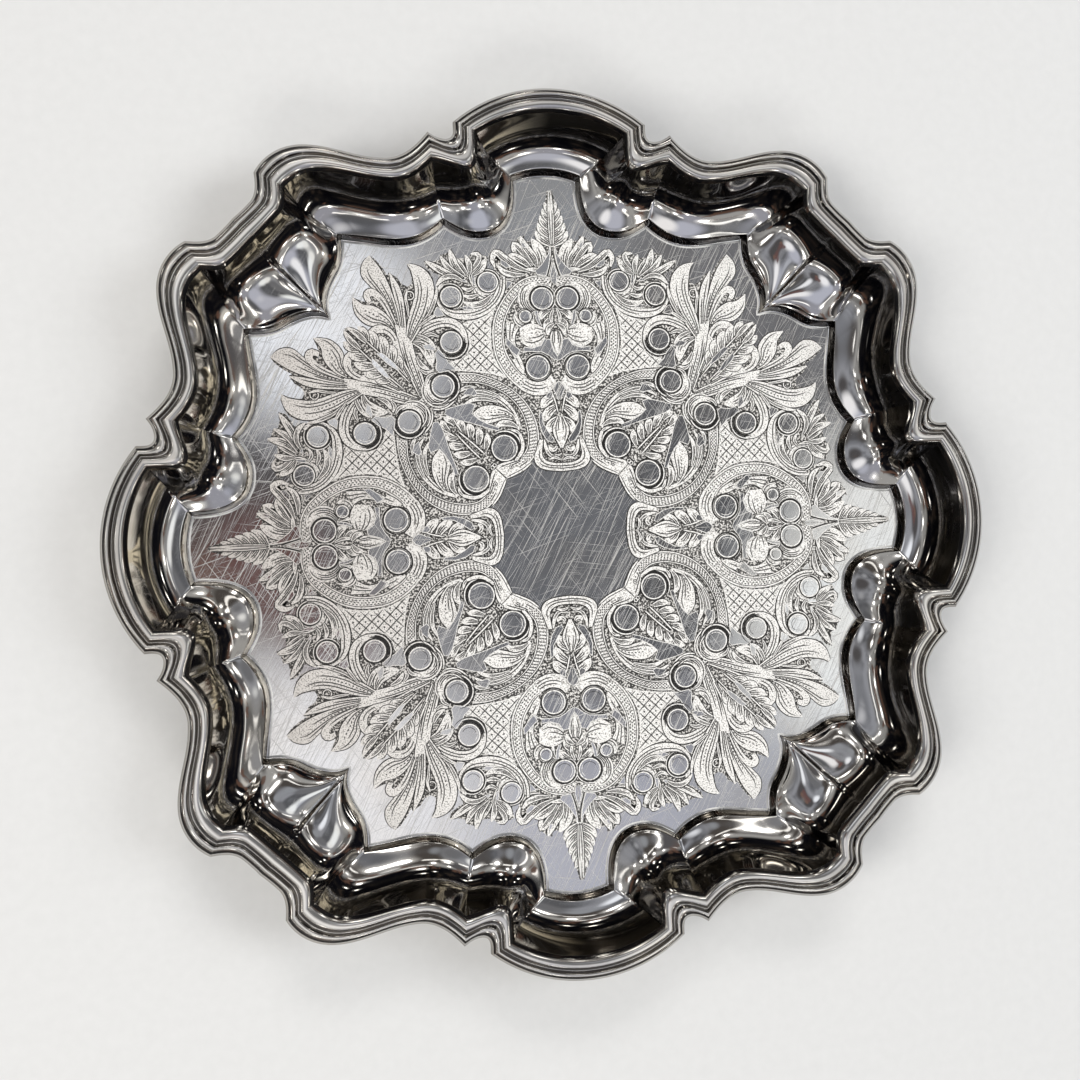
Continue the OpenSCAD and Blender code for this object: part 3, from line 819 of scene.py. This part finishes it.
def stroke_mesh(strokes, lift, flip):
    """Every stroke is a closed three-sided sliver: two slopes over a base."""
    verts, faces = [], []
    base = 0
    for path, widths, mark_level in strokes:
        n = len(path)
        z = SHEET + LIFT + (mark_level + lift) * LEVEL_STEP
        half = left_normals(path) * widths[:, None]
        sliver = np.empty((n, 3, 3))
        sliver[:, 0, :2] = path + half
        sliver[:, 1, :2] = path
        sliver[:, 2, :2] = path - half
        sliver[:, 0, 2] = sliver[:, 2, 2] = z
        sliver[:, 1, 2] = z + LEVEL_STEP * .35
        verts.append(sliver.reshape(-1, 3))
        i = base + np.arange(n - 1) * 3
        for a, b in ((0, 1), (1, 2), (2, 0)):
            quads = np.stack([i + a, i + b, i + b + 3, i + a + 3], 1)
            faces += (quads if flip else quads[:, ::-1]).tolist()
        caps = [[base, base + 1, base + 2], [base + 3 * n - k for k in (1, 2, 3)]]
        faces += [cap[::-1] for cap in caps] if flip else caps
        base += 3 * n
    return np.vstack(verts), faces


def engraved(name, build, marks, height):
    """Mirror and turn an eighth to the full round."""
    verts, faces = [], []
    base = 0
    for side in (1, -1):
        eighth, eighth_faces = build(marks, height, side < 0)
        for turns in range(4):
            v = eighth.copy()
            v[:, 0] *= side
            v[:, :2] = (quarter_turned(v[:, :2], turns) + ORNAMENT_AT) * SCALE
            verts.append(v)
            faces += [[i + base for i in face] for face in eighth_faces]
            base += len(v)
    return make(name, np.vstack(verts), faces, "plate_sheet", smooth=False)


field = engraved("frost_field", slab_mesh, [(FIELD, 0)], .004)
cut_grounds = engraved("cut_grounds", slab_mesh, grounds, .002)
frost_leaves = engraved("frost_leaves", slab_mesh, leaf_faces, .002)
bright_eyes = engraved("bright_eyes", slab_mesh, mirrors, .002)
engraving = engraved("engraving", stroke_mesh, burrs, .55)
cut_lines = engraved("cut_lines", stroke_mesh, cuts, .10)


# ------------------------------------------------------------------ shader helpers
class Nodes:
    """Builds shader nodes; an input is either a value or the socket that drives it."""

    def __init__(self, owner):
        owner.use_nodes = True
        self.tree = owner.node_tree
        self.tree.nodes.clear()

    def node(self, kind, inputs=(), **settings):
        made = self.tree.nodes.new("ShaderNode" + kind)
        for key, value in settings.items():
            setattr(made, key, value)
        for key, value in dict(inputs).items():
            socket = made.inputs[key]
            if isinstance(value, bpy.types.NodeSocket):
                self.tree.links.new(value, socket)
            else:
                socket.default_value = (*value, 1) if socket.type == "RGBA" else value
        return made

    def calc(self, operation, *values, clamp=False):
        return self.node("Math", dict(enumerate(values)), operation=operation,
                         use_clamp=clamp).outputs[0]

    def times(self, a, b):
        return self.calc("MULTIPLY", a, b)

    def plus(self, a, b):
        return self.calc("ADD", a, b)

    def ramp(self, factor, *stops):
        """Stops are (position, grey or colour)."""
        made = self.node("ValToRGB", {0: factor})
        elements = made.color_ramp.elements
        while len(elements) < len(stops):
            elements.new(0.5)
        for k, (position, color) in enumerate(stops):
            elements[k].position = position
            elements[k].color = (*color, 1) if isinstance(color, tuple) else (color,) * 3 + (1,)
        return made.outputs[0]

    def mix(self, factor, a, b):
        return self.node("Mix", {0: factor, 6: a, 7: b}, data_type="RGBA").outputs[2]

    def noise(self, at, scale, detail):
        return self.node("TexNoise", {0: at, "Scale": scale, "Detail": detail}).outputs[0]

    def separate(self, vector):
        return tuple(self.node("SeparateXYZ", {0: vector}).outputs)

    def object_place(self):
        return self.node("TexCoord").outputs["Object"]

    def camera_ray(self):
        return self.node("LightPath").outputs["Is Camera Ray"]

    def bump(self, height, strength, distance):
        return self.node("Bump", {"Height": height, "Strength": strength,
                                  "Distance": distance}).outputs[0]

    def metal(self, color, metallic, roughness, normal=None):
        inputs = {"Base Color": color, "Metallic": metallic, "Roughness": roughness}
        if normal:
            inputs["Normal"] = normal
        return self.node("BsdfPrincipled", inputs).outputs[0]

    def diffuse(self, color):
        return self.node("BsdfDiffuse", {0: color}).outputs[0]

    def blend(self, factor, a, b):
        return self.node("MixShader", {0: factor, 1: a, 2: b}).outputs[0]

    def surface(self, shader):
        self.node("OutputMaterial", {0: shader})


def new_material(name):
    material = bpy.data.materials.new(name)
    return material, Nodes(material)


# ------------------------------------------------------------------ polished silver
# angle in degrees, frequency across and along, noise values where a hairline starts and is full
SHEET_SCRATCHES = (
    (-30, 2300, 22, .56, .69), (-24, 2900, 18, .57, .70), (-37, 2500, 30, .58, .71),
    (36, 2300, 26, .60, .74), (-72, 2200, 26, .60, .74), (82, 2600, 34, .61, .75))
BORDER_SCRATCHES = ((10, 900, 60, .66, .82),)
# painted highlight: the moulding's cream sheen by how far its surface faces up
CREST_PAINTED_HIGHLIGHT = ((.60, 0), (.86, .02), (.95, .06), (.980, .14), (.996, .42))


def scratch_marks(n, at, scratches):
    """Fine parallel hairlines: noise stretched along each direction."""
    marks = None
    for k, (angle, across, along, low, high) in enumerate(scratches):
        seed = 3.1 * k + 1
        stretched = n.node("Mapping", {
            0: at, "Rotation": (0, 0, math.radians(angle)), "Scale": (1 / across, 1 / along, 1),
            "Location": (seed, seed * 1.7, 0)}, vector_type="TEXTURE").outputs[0]
        noise = n.node("TexNoise", {0: stretched, "Scale": 1.0, "Detail": 2.0, "Roughness": 0.6})
        streak = n.node("MapRange", {0: noise.outputs[0], 1: low, 2: high}).outputs[0]
        marks = n.calc("MAXIMUM", marks, streak) if marks else streak
    return marks


def scratches_and_painted_patches(n, at, incoming, facing_up, marks):
    """How much the flat scatters: hairlines to the camera, and painted bright patches seen only in
    reflections towards -X.
    """
    from_x, _, from_z = n.separate(incoming)
    level_parts = n.ramp(facing_up, (.97, 0), (.995, 1))
    side = n.times(n.ramp(n.times(from_x, -1.0), (.25, 0), (.52, 1)),
                   n.ramp(from_z, (.50, 0), (.66, 1)))
    patches = n.ramp(n.noise(at, scale=420, detail=1), (.40, .05), (.52, .8))
    camera = n.camera_ray()
    painted_reflection_patches = n.times(n.times(side, patches), n.times(level_parts, n.calc("SUBTRACT", 1.0, camera)))
    return n.calc("MAXIMUM", painted_reflection_patches, n.times(n.times(marks, marks), n.times(camera, 0.36)))


def silver(name, base, tarnish_and_shade, roughness, scratches, painted_highlight_stops=None):
    material, n = new_material(name)
    at = n.object_place()
    geometry = n.node("NewGeometry").outputs
    blotches = n.noise(at, scale=38, detail=5)
    # warm tarnish in soft patches; the steep parts take the same warm colour as painted shade
    normal_x, normal_y, up = n.separate(geometry["Normal"])
    patch = n.times(n.ramp(blotches, (.42, 0), (.72, 1)), 0.35)
    steep = n.times(n.ramp(up, (.45, 1), (.85, 0)), 0.45)
    color = n.mix(n.calc("ADD", steep, patch, clamp=True), base, tarnish_and_shade)
    topside = n.calc("GREATER_THAN", up, -0.15)
    if painted_highlight_stops:
        # painted shade: the steep edges and hollows are painted dark
        color = n.mix(n.times(topside, n.ramp(up, (.30, .92), (.90, 0))), color, (.075, .07, .065))
    else:
        # painted shade: the walls darken, most where they do not face +X: cool towards -Y, warm towards
        # +Y
        painted_wall_shade = n.times(n.times(n.ramp(up, (.56, 1), (.84, 0)), topside),
                       n.ramp(normal_x, (.10, .90), (.48, .16)))
        wall_shade_tint = n.ramp(n.calc("MULTIPLY_ADD", normal_y, 0.5, 0.5),
                      (.38, (.140, .143, .158)), (.66, (.170, .150, .122)))
        color = n.mix(painted_wall_shade, color, wall_shade_tint)
    # hairlines show on the parts that lie flat, paler and rougher than the rest
    marks = scratch_marks(n, at, scratches)
    _, _, flatness = n.separate(geometry["Normal"])
    marks = n.calc("MULTIPLY", marks, n.ramp(flatness, (.965, .06), (.997, 1)), clamp=True)
    color = n.mix(n.times(marks, 0.40), color, (.97, .97, .96))
    smears = n.times(n.ramp(n.noise(at, scale=16, detail=3), (.45, 0), (.8, 1)), 0.05)
    shader = n.metal(
        color, metallic=1.0, roughness=n.plus(smears, n.plus(n.times(marks, 0.42), roughness)),
        normal=n.bump(n.noise(at, scale=90, detail=2), strength=0.06, distance=0.0002))
    if painted_highlight_stops:
        # painted highlight: the crests get a soft cream sheen, patchy with the blotches
        painted_crest_sheen = n.times(n.ramp(up, *painted_highlight_stops), n.ramp(blotches, (.35, .55), (.62, 1)))
        shader = n.blend(painted_crest_sheen, shader, n.diffuse((.93, .90, .84)))
    else:
        # hairlines scatter to the camera; bright patches are painted into reflections towards -X
        scatter = scratches_and_painted_patches(n, at, geometry["Incoming"], up, marks)
        shader = n.blend(scatter, shader, n.diffuse((.93, .90, .83)))
    # painted sheen: seen by the camera from low down, the surface is mixed with a soft pale haze
    _, _, from_z = n.separate(geometry["Incoming"])
    painted_haze = n.ramp(n.calc("ABSOLUTE", from_z), (.40, .46), (.86, 0))
    painted_haze = n.times(painted_haze, n.plus(n.times(patch, 0.8), 0.80))
    n.surface(n.blend(n.times(painted_haze, n.camera_ray()), shader, n.diffuse((.74, .74, .745))))
    return material


polished_sheet = silver("polished_sheet", base=(.83, .83, .83), tarnish_and_shade=(.76, .69, .58),
                        roughness=0.045, scratches=SHEET_SCRATCHES)
polished_border = silver("polished_border", base=(.60, .59, .575), tarnish_and_shade=(.62, .55, .45),
                         roughness=0.09, scratches=BORDER_SCRATCHES, painted_highlight_stops=CREST_PAINTED_HIGHLIGHT)


# ------------------------------------------------------------------ painted fold highlight, frosted, cut, floor
def fold_highlight_material():
    # painted highlight: a pale mottled strip that stands in for the light on the fold
    material, n = new_material("fold_edge_painted_highlight")
    noise = n.noise(n.object_place(), scale=70, detail=3)
    n.surface(n.metal(n.ramp(noise, (.38, .30), (.58, (.95, .94, .90))),
                      metallic=0.35, roughness=0.35))
    return material


def frosted(name, low, high, dark, bright, grain, warm):
    """Stippled metal: `dark` to `bright` as the grain noise goes from `low` to `high`."""
    material, n = new_material(name)
    at = n.object_place()
    stipple = n.noise(at, scale=grain, detail=1)
    warmth = n.noise(at, scale=30, detail=3)
    from_x, _, from_z = n.separate(n.node("NewGeometry").outputs["Incoming"])
    above = n.ramp(from_z, (.62, 0), (.90, 1))
    camera = n.camera_ray()
    color = n.mix(n.ramp(stipple, (low, 0), (high, 1)), dark, bright)
    color = n.mix(n.times(warmth, warm), color, (.86, .82, .74))
    # painted shade: darker towards -X
    x, _, _ = n.separate(at)
    minus_x_shade = n.ramp(n.plus(n.times(x, 4.0), 0.5), (.02, (.60, .565, .545)), (.42, 1))
    color = n.node("VectorMath", {0: color, 1: minus_x_shade}, operation="MULTIPLY").outputs[0]
    # painted reflection: in reflections seen from low down the frost is painted warm
    color = n.mix(n.calc("MAXIMUM", above, camera), (.95, .86, .66), color)
    frost = n.metal(color, metallic=0.15, roughness=0.55,
                    normal=n.bump(stipple, strength=0.5, distance=0.00006))
    # painted reflection: seen along the metal the cuts are painted dark, save for painted beads of light
    # on the -X side
    painted_dark_glossy = n.node("BsdfGlossy", {"Color": (.09, .08, .07), "Roughness": 0.3}).outputs[0]
    painted_bead = n.ramp(n.noise(at, scale=75, detail=3), (.50, 0), (.55, 1))
    side = n.ramp(n.times(from_x, -1.0), (.15, .02), (.70, .85))
    lit = n.calc("MAXIMUM", above, n.times(painted_bead, side))
    n.surface(n.blend(n.calc("MAXIMUM", lit, n.times(camera, 0.85)), painted_dark_glossy, frost))
    return material


def dark_cut():
    material, n = new_material("dark_cut_metal")
    noise = n.noise(n.object_place(), scale=900, detail=2)
    n.surface(n.metal(n.mix(noise, (.025, .024, .022), (.13, .125, .118)),
                      metallic=0.85, roughness=0.35))
    return material


def pale_floor():
    material, n = new_material("pale_floor")
    noise = n.noise(n.object_place(), scale=260, detail=4)
    n.surface(n.metal(n.mix(noise, (.62, .62, .61), (.67, .67, .66)), metallic=0, roughness=0.75,
                      normal=n.bump(noise, strength=0.05, distance=0.0003)))
    return material


def wear_material(material, *obs):
    for ob in obs:
        ob.data.materials.append(material)


wear_material(polished_sheet, body, bright_eyes)
wear_material(polished_border, *borders)
wear_material(fold_highlight_material(), fold_line)
wear_material(frosted("stippled_ground", low=.47, high=.60, dark=(.032, .031, .030),
                      bright=(.78, .76, .72), grain=1500, warm=.06), field)
wear_material(frosted("frosted_leaves", low=.34, high=.50, dark=(.25, .24, .225),
                      bright=(.93, .915, .88), grain=2100, warm=.16), frost_leaves)
wear_material(frosted("bright_burrs", low=.30, high=.48, dark=(.44, .43, .40),
                      bright=(.98, .965, .93), grain=1300, warm=.2), engraving)
wear_material(dark_cut(), cut_grounds, cut_lines)

# ------------------------------------------------------------------ floor
FLOOR_HALF = 3.0
corners = [(sx * FLOOR_HALF, sy * FLOOR_HALF, 0) for sx, sy in ((-1, -1), (1, -1), (1, 1), (-1, 1))]
floor_mesh = bpy.data.meshes.new("floor")
floor_mesh.from_pydata(corners, [], [(0, 1, 2, 3)])
floor = bpy.data.objects.new("floor", floor_mesh)
bpy.context.scene.collection.objects.link(floor)
floor.location.z = -0.0002
wear_material(pale_floor(), floor)

# ------------------------------------------------------------------ the room the metal mirrors
# Places are on an overhead plane at height 1: (x / z, y / z) of the direction looked in.
# soft patches: x, y, radius where it begins, radius where it is full, colour
PATCHES = (
    (.17, .80, .47, .26, (.075, .066, .060)), (-.55, .55, .40, .15, (.09, .083, .080)),
    (.80, .60, .40, .15, (.10, .095, .098)), (.17, -.42, .34, .14, (.50, .51, .585)),
    (.17, -.95, .45, .2, (.335, .335, .375)), (-.20, .03, .22, .10, (.083, .078, .080)),
    (-.09, -.24, .24, .08, (.98, .97, .99)), (.55, .02, .17, .07, (.92, .92, .90)),
    (.41, .28, .22, .10, (.17, .17, .18)), (.17, .40, .16, .06, (.30, .31, .33)),
    (.40, -.22, .16, .05, (.44, .45, .50)), (.47, -.095, .17, .06, (.98, 1.0, 1.0)),
    (1.2, .10, .24, .08, (.62, .59, .54)), (-.055, .235, .15, .05, (.98, 1.0, 1.05)),
    (.17, .02, .13, .06, (.15, .155, .17)), (-.125, .0, .09, .03, (.15, .085, .08)),
    (-.06, -.065, .07, .02, (.17, .115, .115)), (-.20, -.02, .06, .02, (.18, .11, .09)))
# lamps: x, y, radius, brightness
LAMPS = (
    (-.62, -.55, .05, 5), (-.30, -.85, .06, 4), (.45, -.75, .065, 5), (.85, -.45, .05, 5),
    (-.85, .10, .045, 4), (-.15, .72, .075, 4.5), (2.3, .7, .13, 5), (-1.7, 2.3, .13, 5),
    (1.0, 2.7, .12, 5), (-2.7, -.5, .14, 5), (1.5, -2.3, .13, 5), (3.6, 1.9, .2, 6),
    (-3.2, 2.0, .2, 6), (.2, 3.8, .2, 6), (.05, 1.85, .13, 5), (-.60, .55, .06, 4),
    (.60, .62, .07, 4), (1.05, .15, .05, 4), (.36, .98, .07, 4), (-.33, 1.02, .045, 4),
    (.88, .88, .05, 4), (.05, -1.25, .06, 5), (-1.15, -.45, .06, 4), (1.15, -.95, .06, 4))


def build_world():
    world = bpy.data.worlds.new("studio")
    bpy.context.scene.world = world
    n = Nodes(world)
    direction = n.node("TexCoord").outputs["Generated"]
    dx, dy, dz = n.separate(direction)
    height = n.calc("MAXIMUM", dz, 0.02)
    plane_x, plane_y = n.calc("DIVIDE", dx, height), n.calc("DIVIDE", dy, height)

    def smoothstep(value, begin, end):
        return n.node("MapRange", {0: value, 1: begin, 2: end},
                      interpolation_type="SMOOTHSTEP").outputs[0]

    def distance(x, y):
        return n.calc("SQRT", n.plus(n.calc("POWER", x, 2), n.calc("POWER", y, 2)))

    def spot(x, y, begin, full):
        away = distance(n.calc("SUBTRACT", plane_x, x), n.calc("SUBTRACT", plane_y, y))
        return smoothstep(away, begin, full)

    def scaled(vector, factor):
        return n.node("VectorMath", {0: vector, "Scale": factor}, operation="SCALE").outputs[0]

    def light_row(begin, end, noise, low, high):
        """A thin broken ring of lights."""
        ring_share = n.times(smoothstep(out, begin, begin + .03), smoothstep(out, end + .03, end))
        return n.times(ring_share, n.ramp(noise, (low, 0), (high, 1)))

    out = distance(plane_x, plane_y)
    broad = n.noise(direction, scale=2.6, detail=2)
    fine = n.noise(direction, scale=5.5, detail=3)
    # a grey room overhead, getting darker and warmer towards the horizon
    sky = n.mix(smoothstep(out, .50, .95), (.30, .305, .33), (.37, .36, .345))
    sky = n.mix(n.ramp(broad, (.42, 0), (.60, 1)), sky, scaled(sky, 0.36))
    gloom = n.ramp(fine, (.42, (.004, .004, .006)), (.56, (.012, .011, .011)),
                   (.66, (.040, .030, .025)))
    sky = n.mix(smoothstep(n.plus(out, n.times(broad, 0.35)), 1.38, 1.80), sky, gloom)
    # reddish things stand about the room
    rust = n.times(n.ramp(fine, (.555, 0), (.575, .8)),
                   n.times(smoothstep(out, .90, 1.02), smoothstep(out, 2.1, 1.7)))
    sky = n.mix(rust, sky, (.135, .074, .053))
    for *place_on_plane, color in PATCHES:
        sky = n.mix(spot(*place_on_plane), sky, color)
    # pale below the horizon
    sky = n.mix(smoothstep(dz, -.12, -.02), (.40, .40, .41), sky)
    lamps = None
    for x, y, radius, gain in LAMPS:
        core = n.times(spot(x, y, radius * 1.3, radius * .7), gain)
        glow = n.times(spot(x, y, radius * 3.0, radius * .6), 0.55)
        lamp = n.plus(core, glow)
        lamps = n.plus(lamps, lamp) if lamps else lamp
    # broken rows of lights round the room: thin bright lines along the ribs and lobes
    rows = n.plus(light_row(.735, .805, fine, .47, .52), light_row(1.24, 1.32, broad, .50, .54))
    lamps = n.plus(lamps, n.times(rows, 1.1))
    glare = scaled((1.0, .97, .92), n.times(lamps, smoothstep(dz, 0.0, .04)))
    sky = n.node("VectorMath", {0: sky, 1: glare}, operation="ADD").outputs[0]
    # only mirrored rays see the room
    glossy = n.node("LightPath").outputs["Is Glossy Ray"]
    background = n.node("Background", {0: n.mix(glossy, (.42, .42, .43), sky), 1: 1.0})
    n.node("OutputWorld", {0: background.outputs[0]})


build_world()


# ------------------------------------------------------------------ lights
def area(name, location, power, color, width, depth):
    """Soft light aimed at the plate; the metal mirrors the room instead."""
    light = bpy.data.lights.new(name, "AREA")
    light.shape = "RECTANGLE"
    light.size = width
    light.size_y = depth
    light.energy = power
    light.color = color
    ob = bpy.data.objects.new(name, light)
    bpy.context.scene.collection.objects.link(ob)
    ob.location = location
    ob.rotation_euler = (-Vector(location)).to_track_quat("-Z", "Y").to_euler()
    ob.visible_glossy = False


area("key_left", (-1.25, -.35, 1.15), power=16, color=(1, .97, .93), width=.9, depth=.9)
area("fill_right", (1.35, .15, 1.05), power=12, color=(.93, .96, 1), width=.8, depth=.8)
area("top_back", (.1, 1.45, 1.1), power=10, color=(1, .98, .96), width=.9, depth=.4)
area("front", (0, -1.5, 1.15), power=10, color=(1, .99, .97), width=1.2, depth=.4)

# ------------------------------------------------------------------ camera
# world-to-camera turns in radians, and where the middle of the flat lies as the camera sees it
CAMERA_TURNS = (("X", -0.0225), ("Y", 0.14675), ("Z", 0.04782))
CAMERA_OFFSET = np.array([7.468, 2.612, -359.68]) * SCALE
turn_x, turn_y, turn_z = (np.array(Matrix.Rotation(angle, 3, axis)) for axis, angle in CAMERA_TURNS)
to_camera = turn_x @ turn_y @ turn_z
eye_point = -to_camera.T @ CAMERA_OFFSET + np.array([0, 0, SHEET])
lens = bpy.data.cameras.new("camera")
lens.sensor_width = 36
lens.lens = 100 / 3
lens.clip_start = 0.01
lens.clip_end = 50
camera = bpy.data.objects.new("camera", lens)
bpy.context.scene.collection.objects.link(camera)
pose = Matrix(to_camera.T.tolist()).to_4x4()
pose.translation = Vector(eye_point * MM)
camera.matrix_world = pose
bpy.context.scene.camera = camera
bpy.context.scene.view_settings.view_transform = "Standard"
bpy.context.scene.view_settings.look = "None"
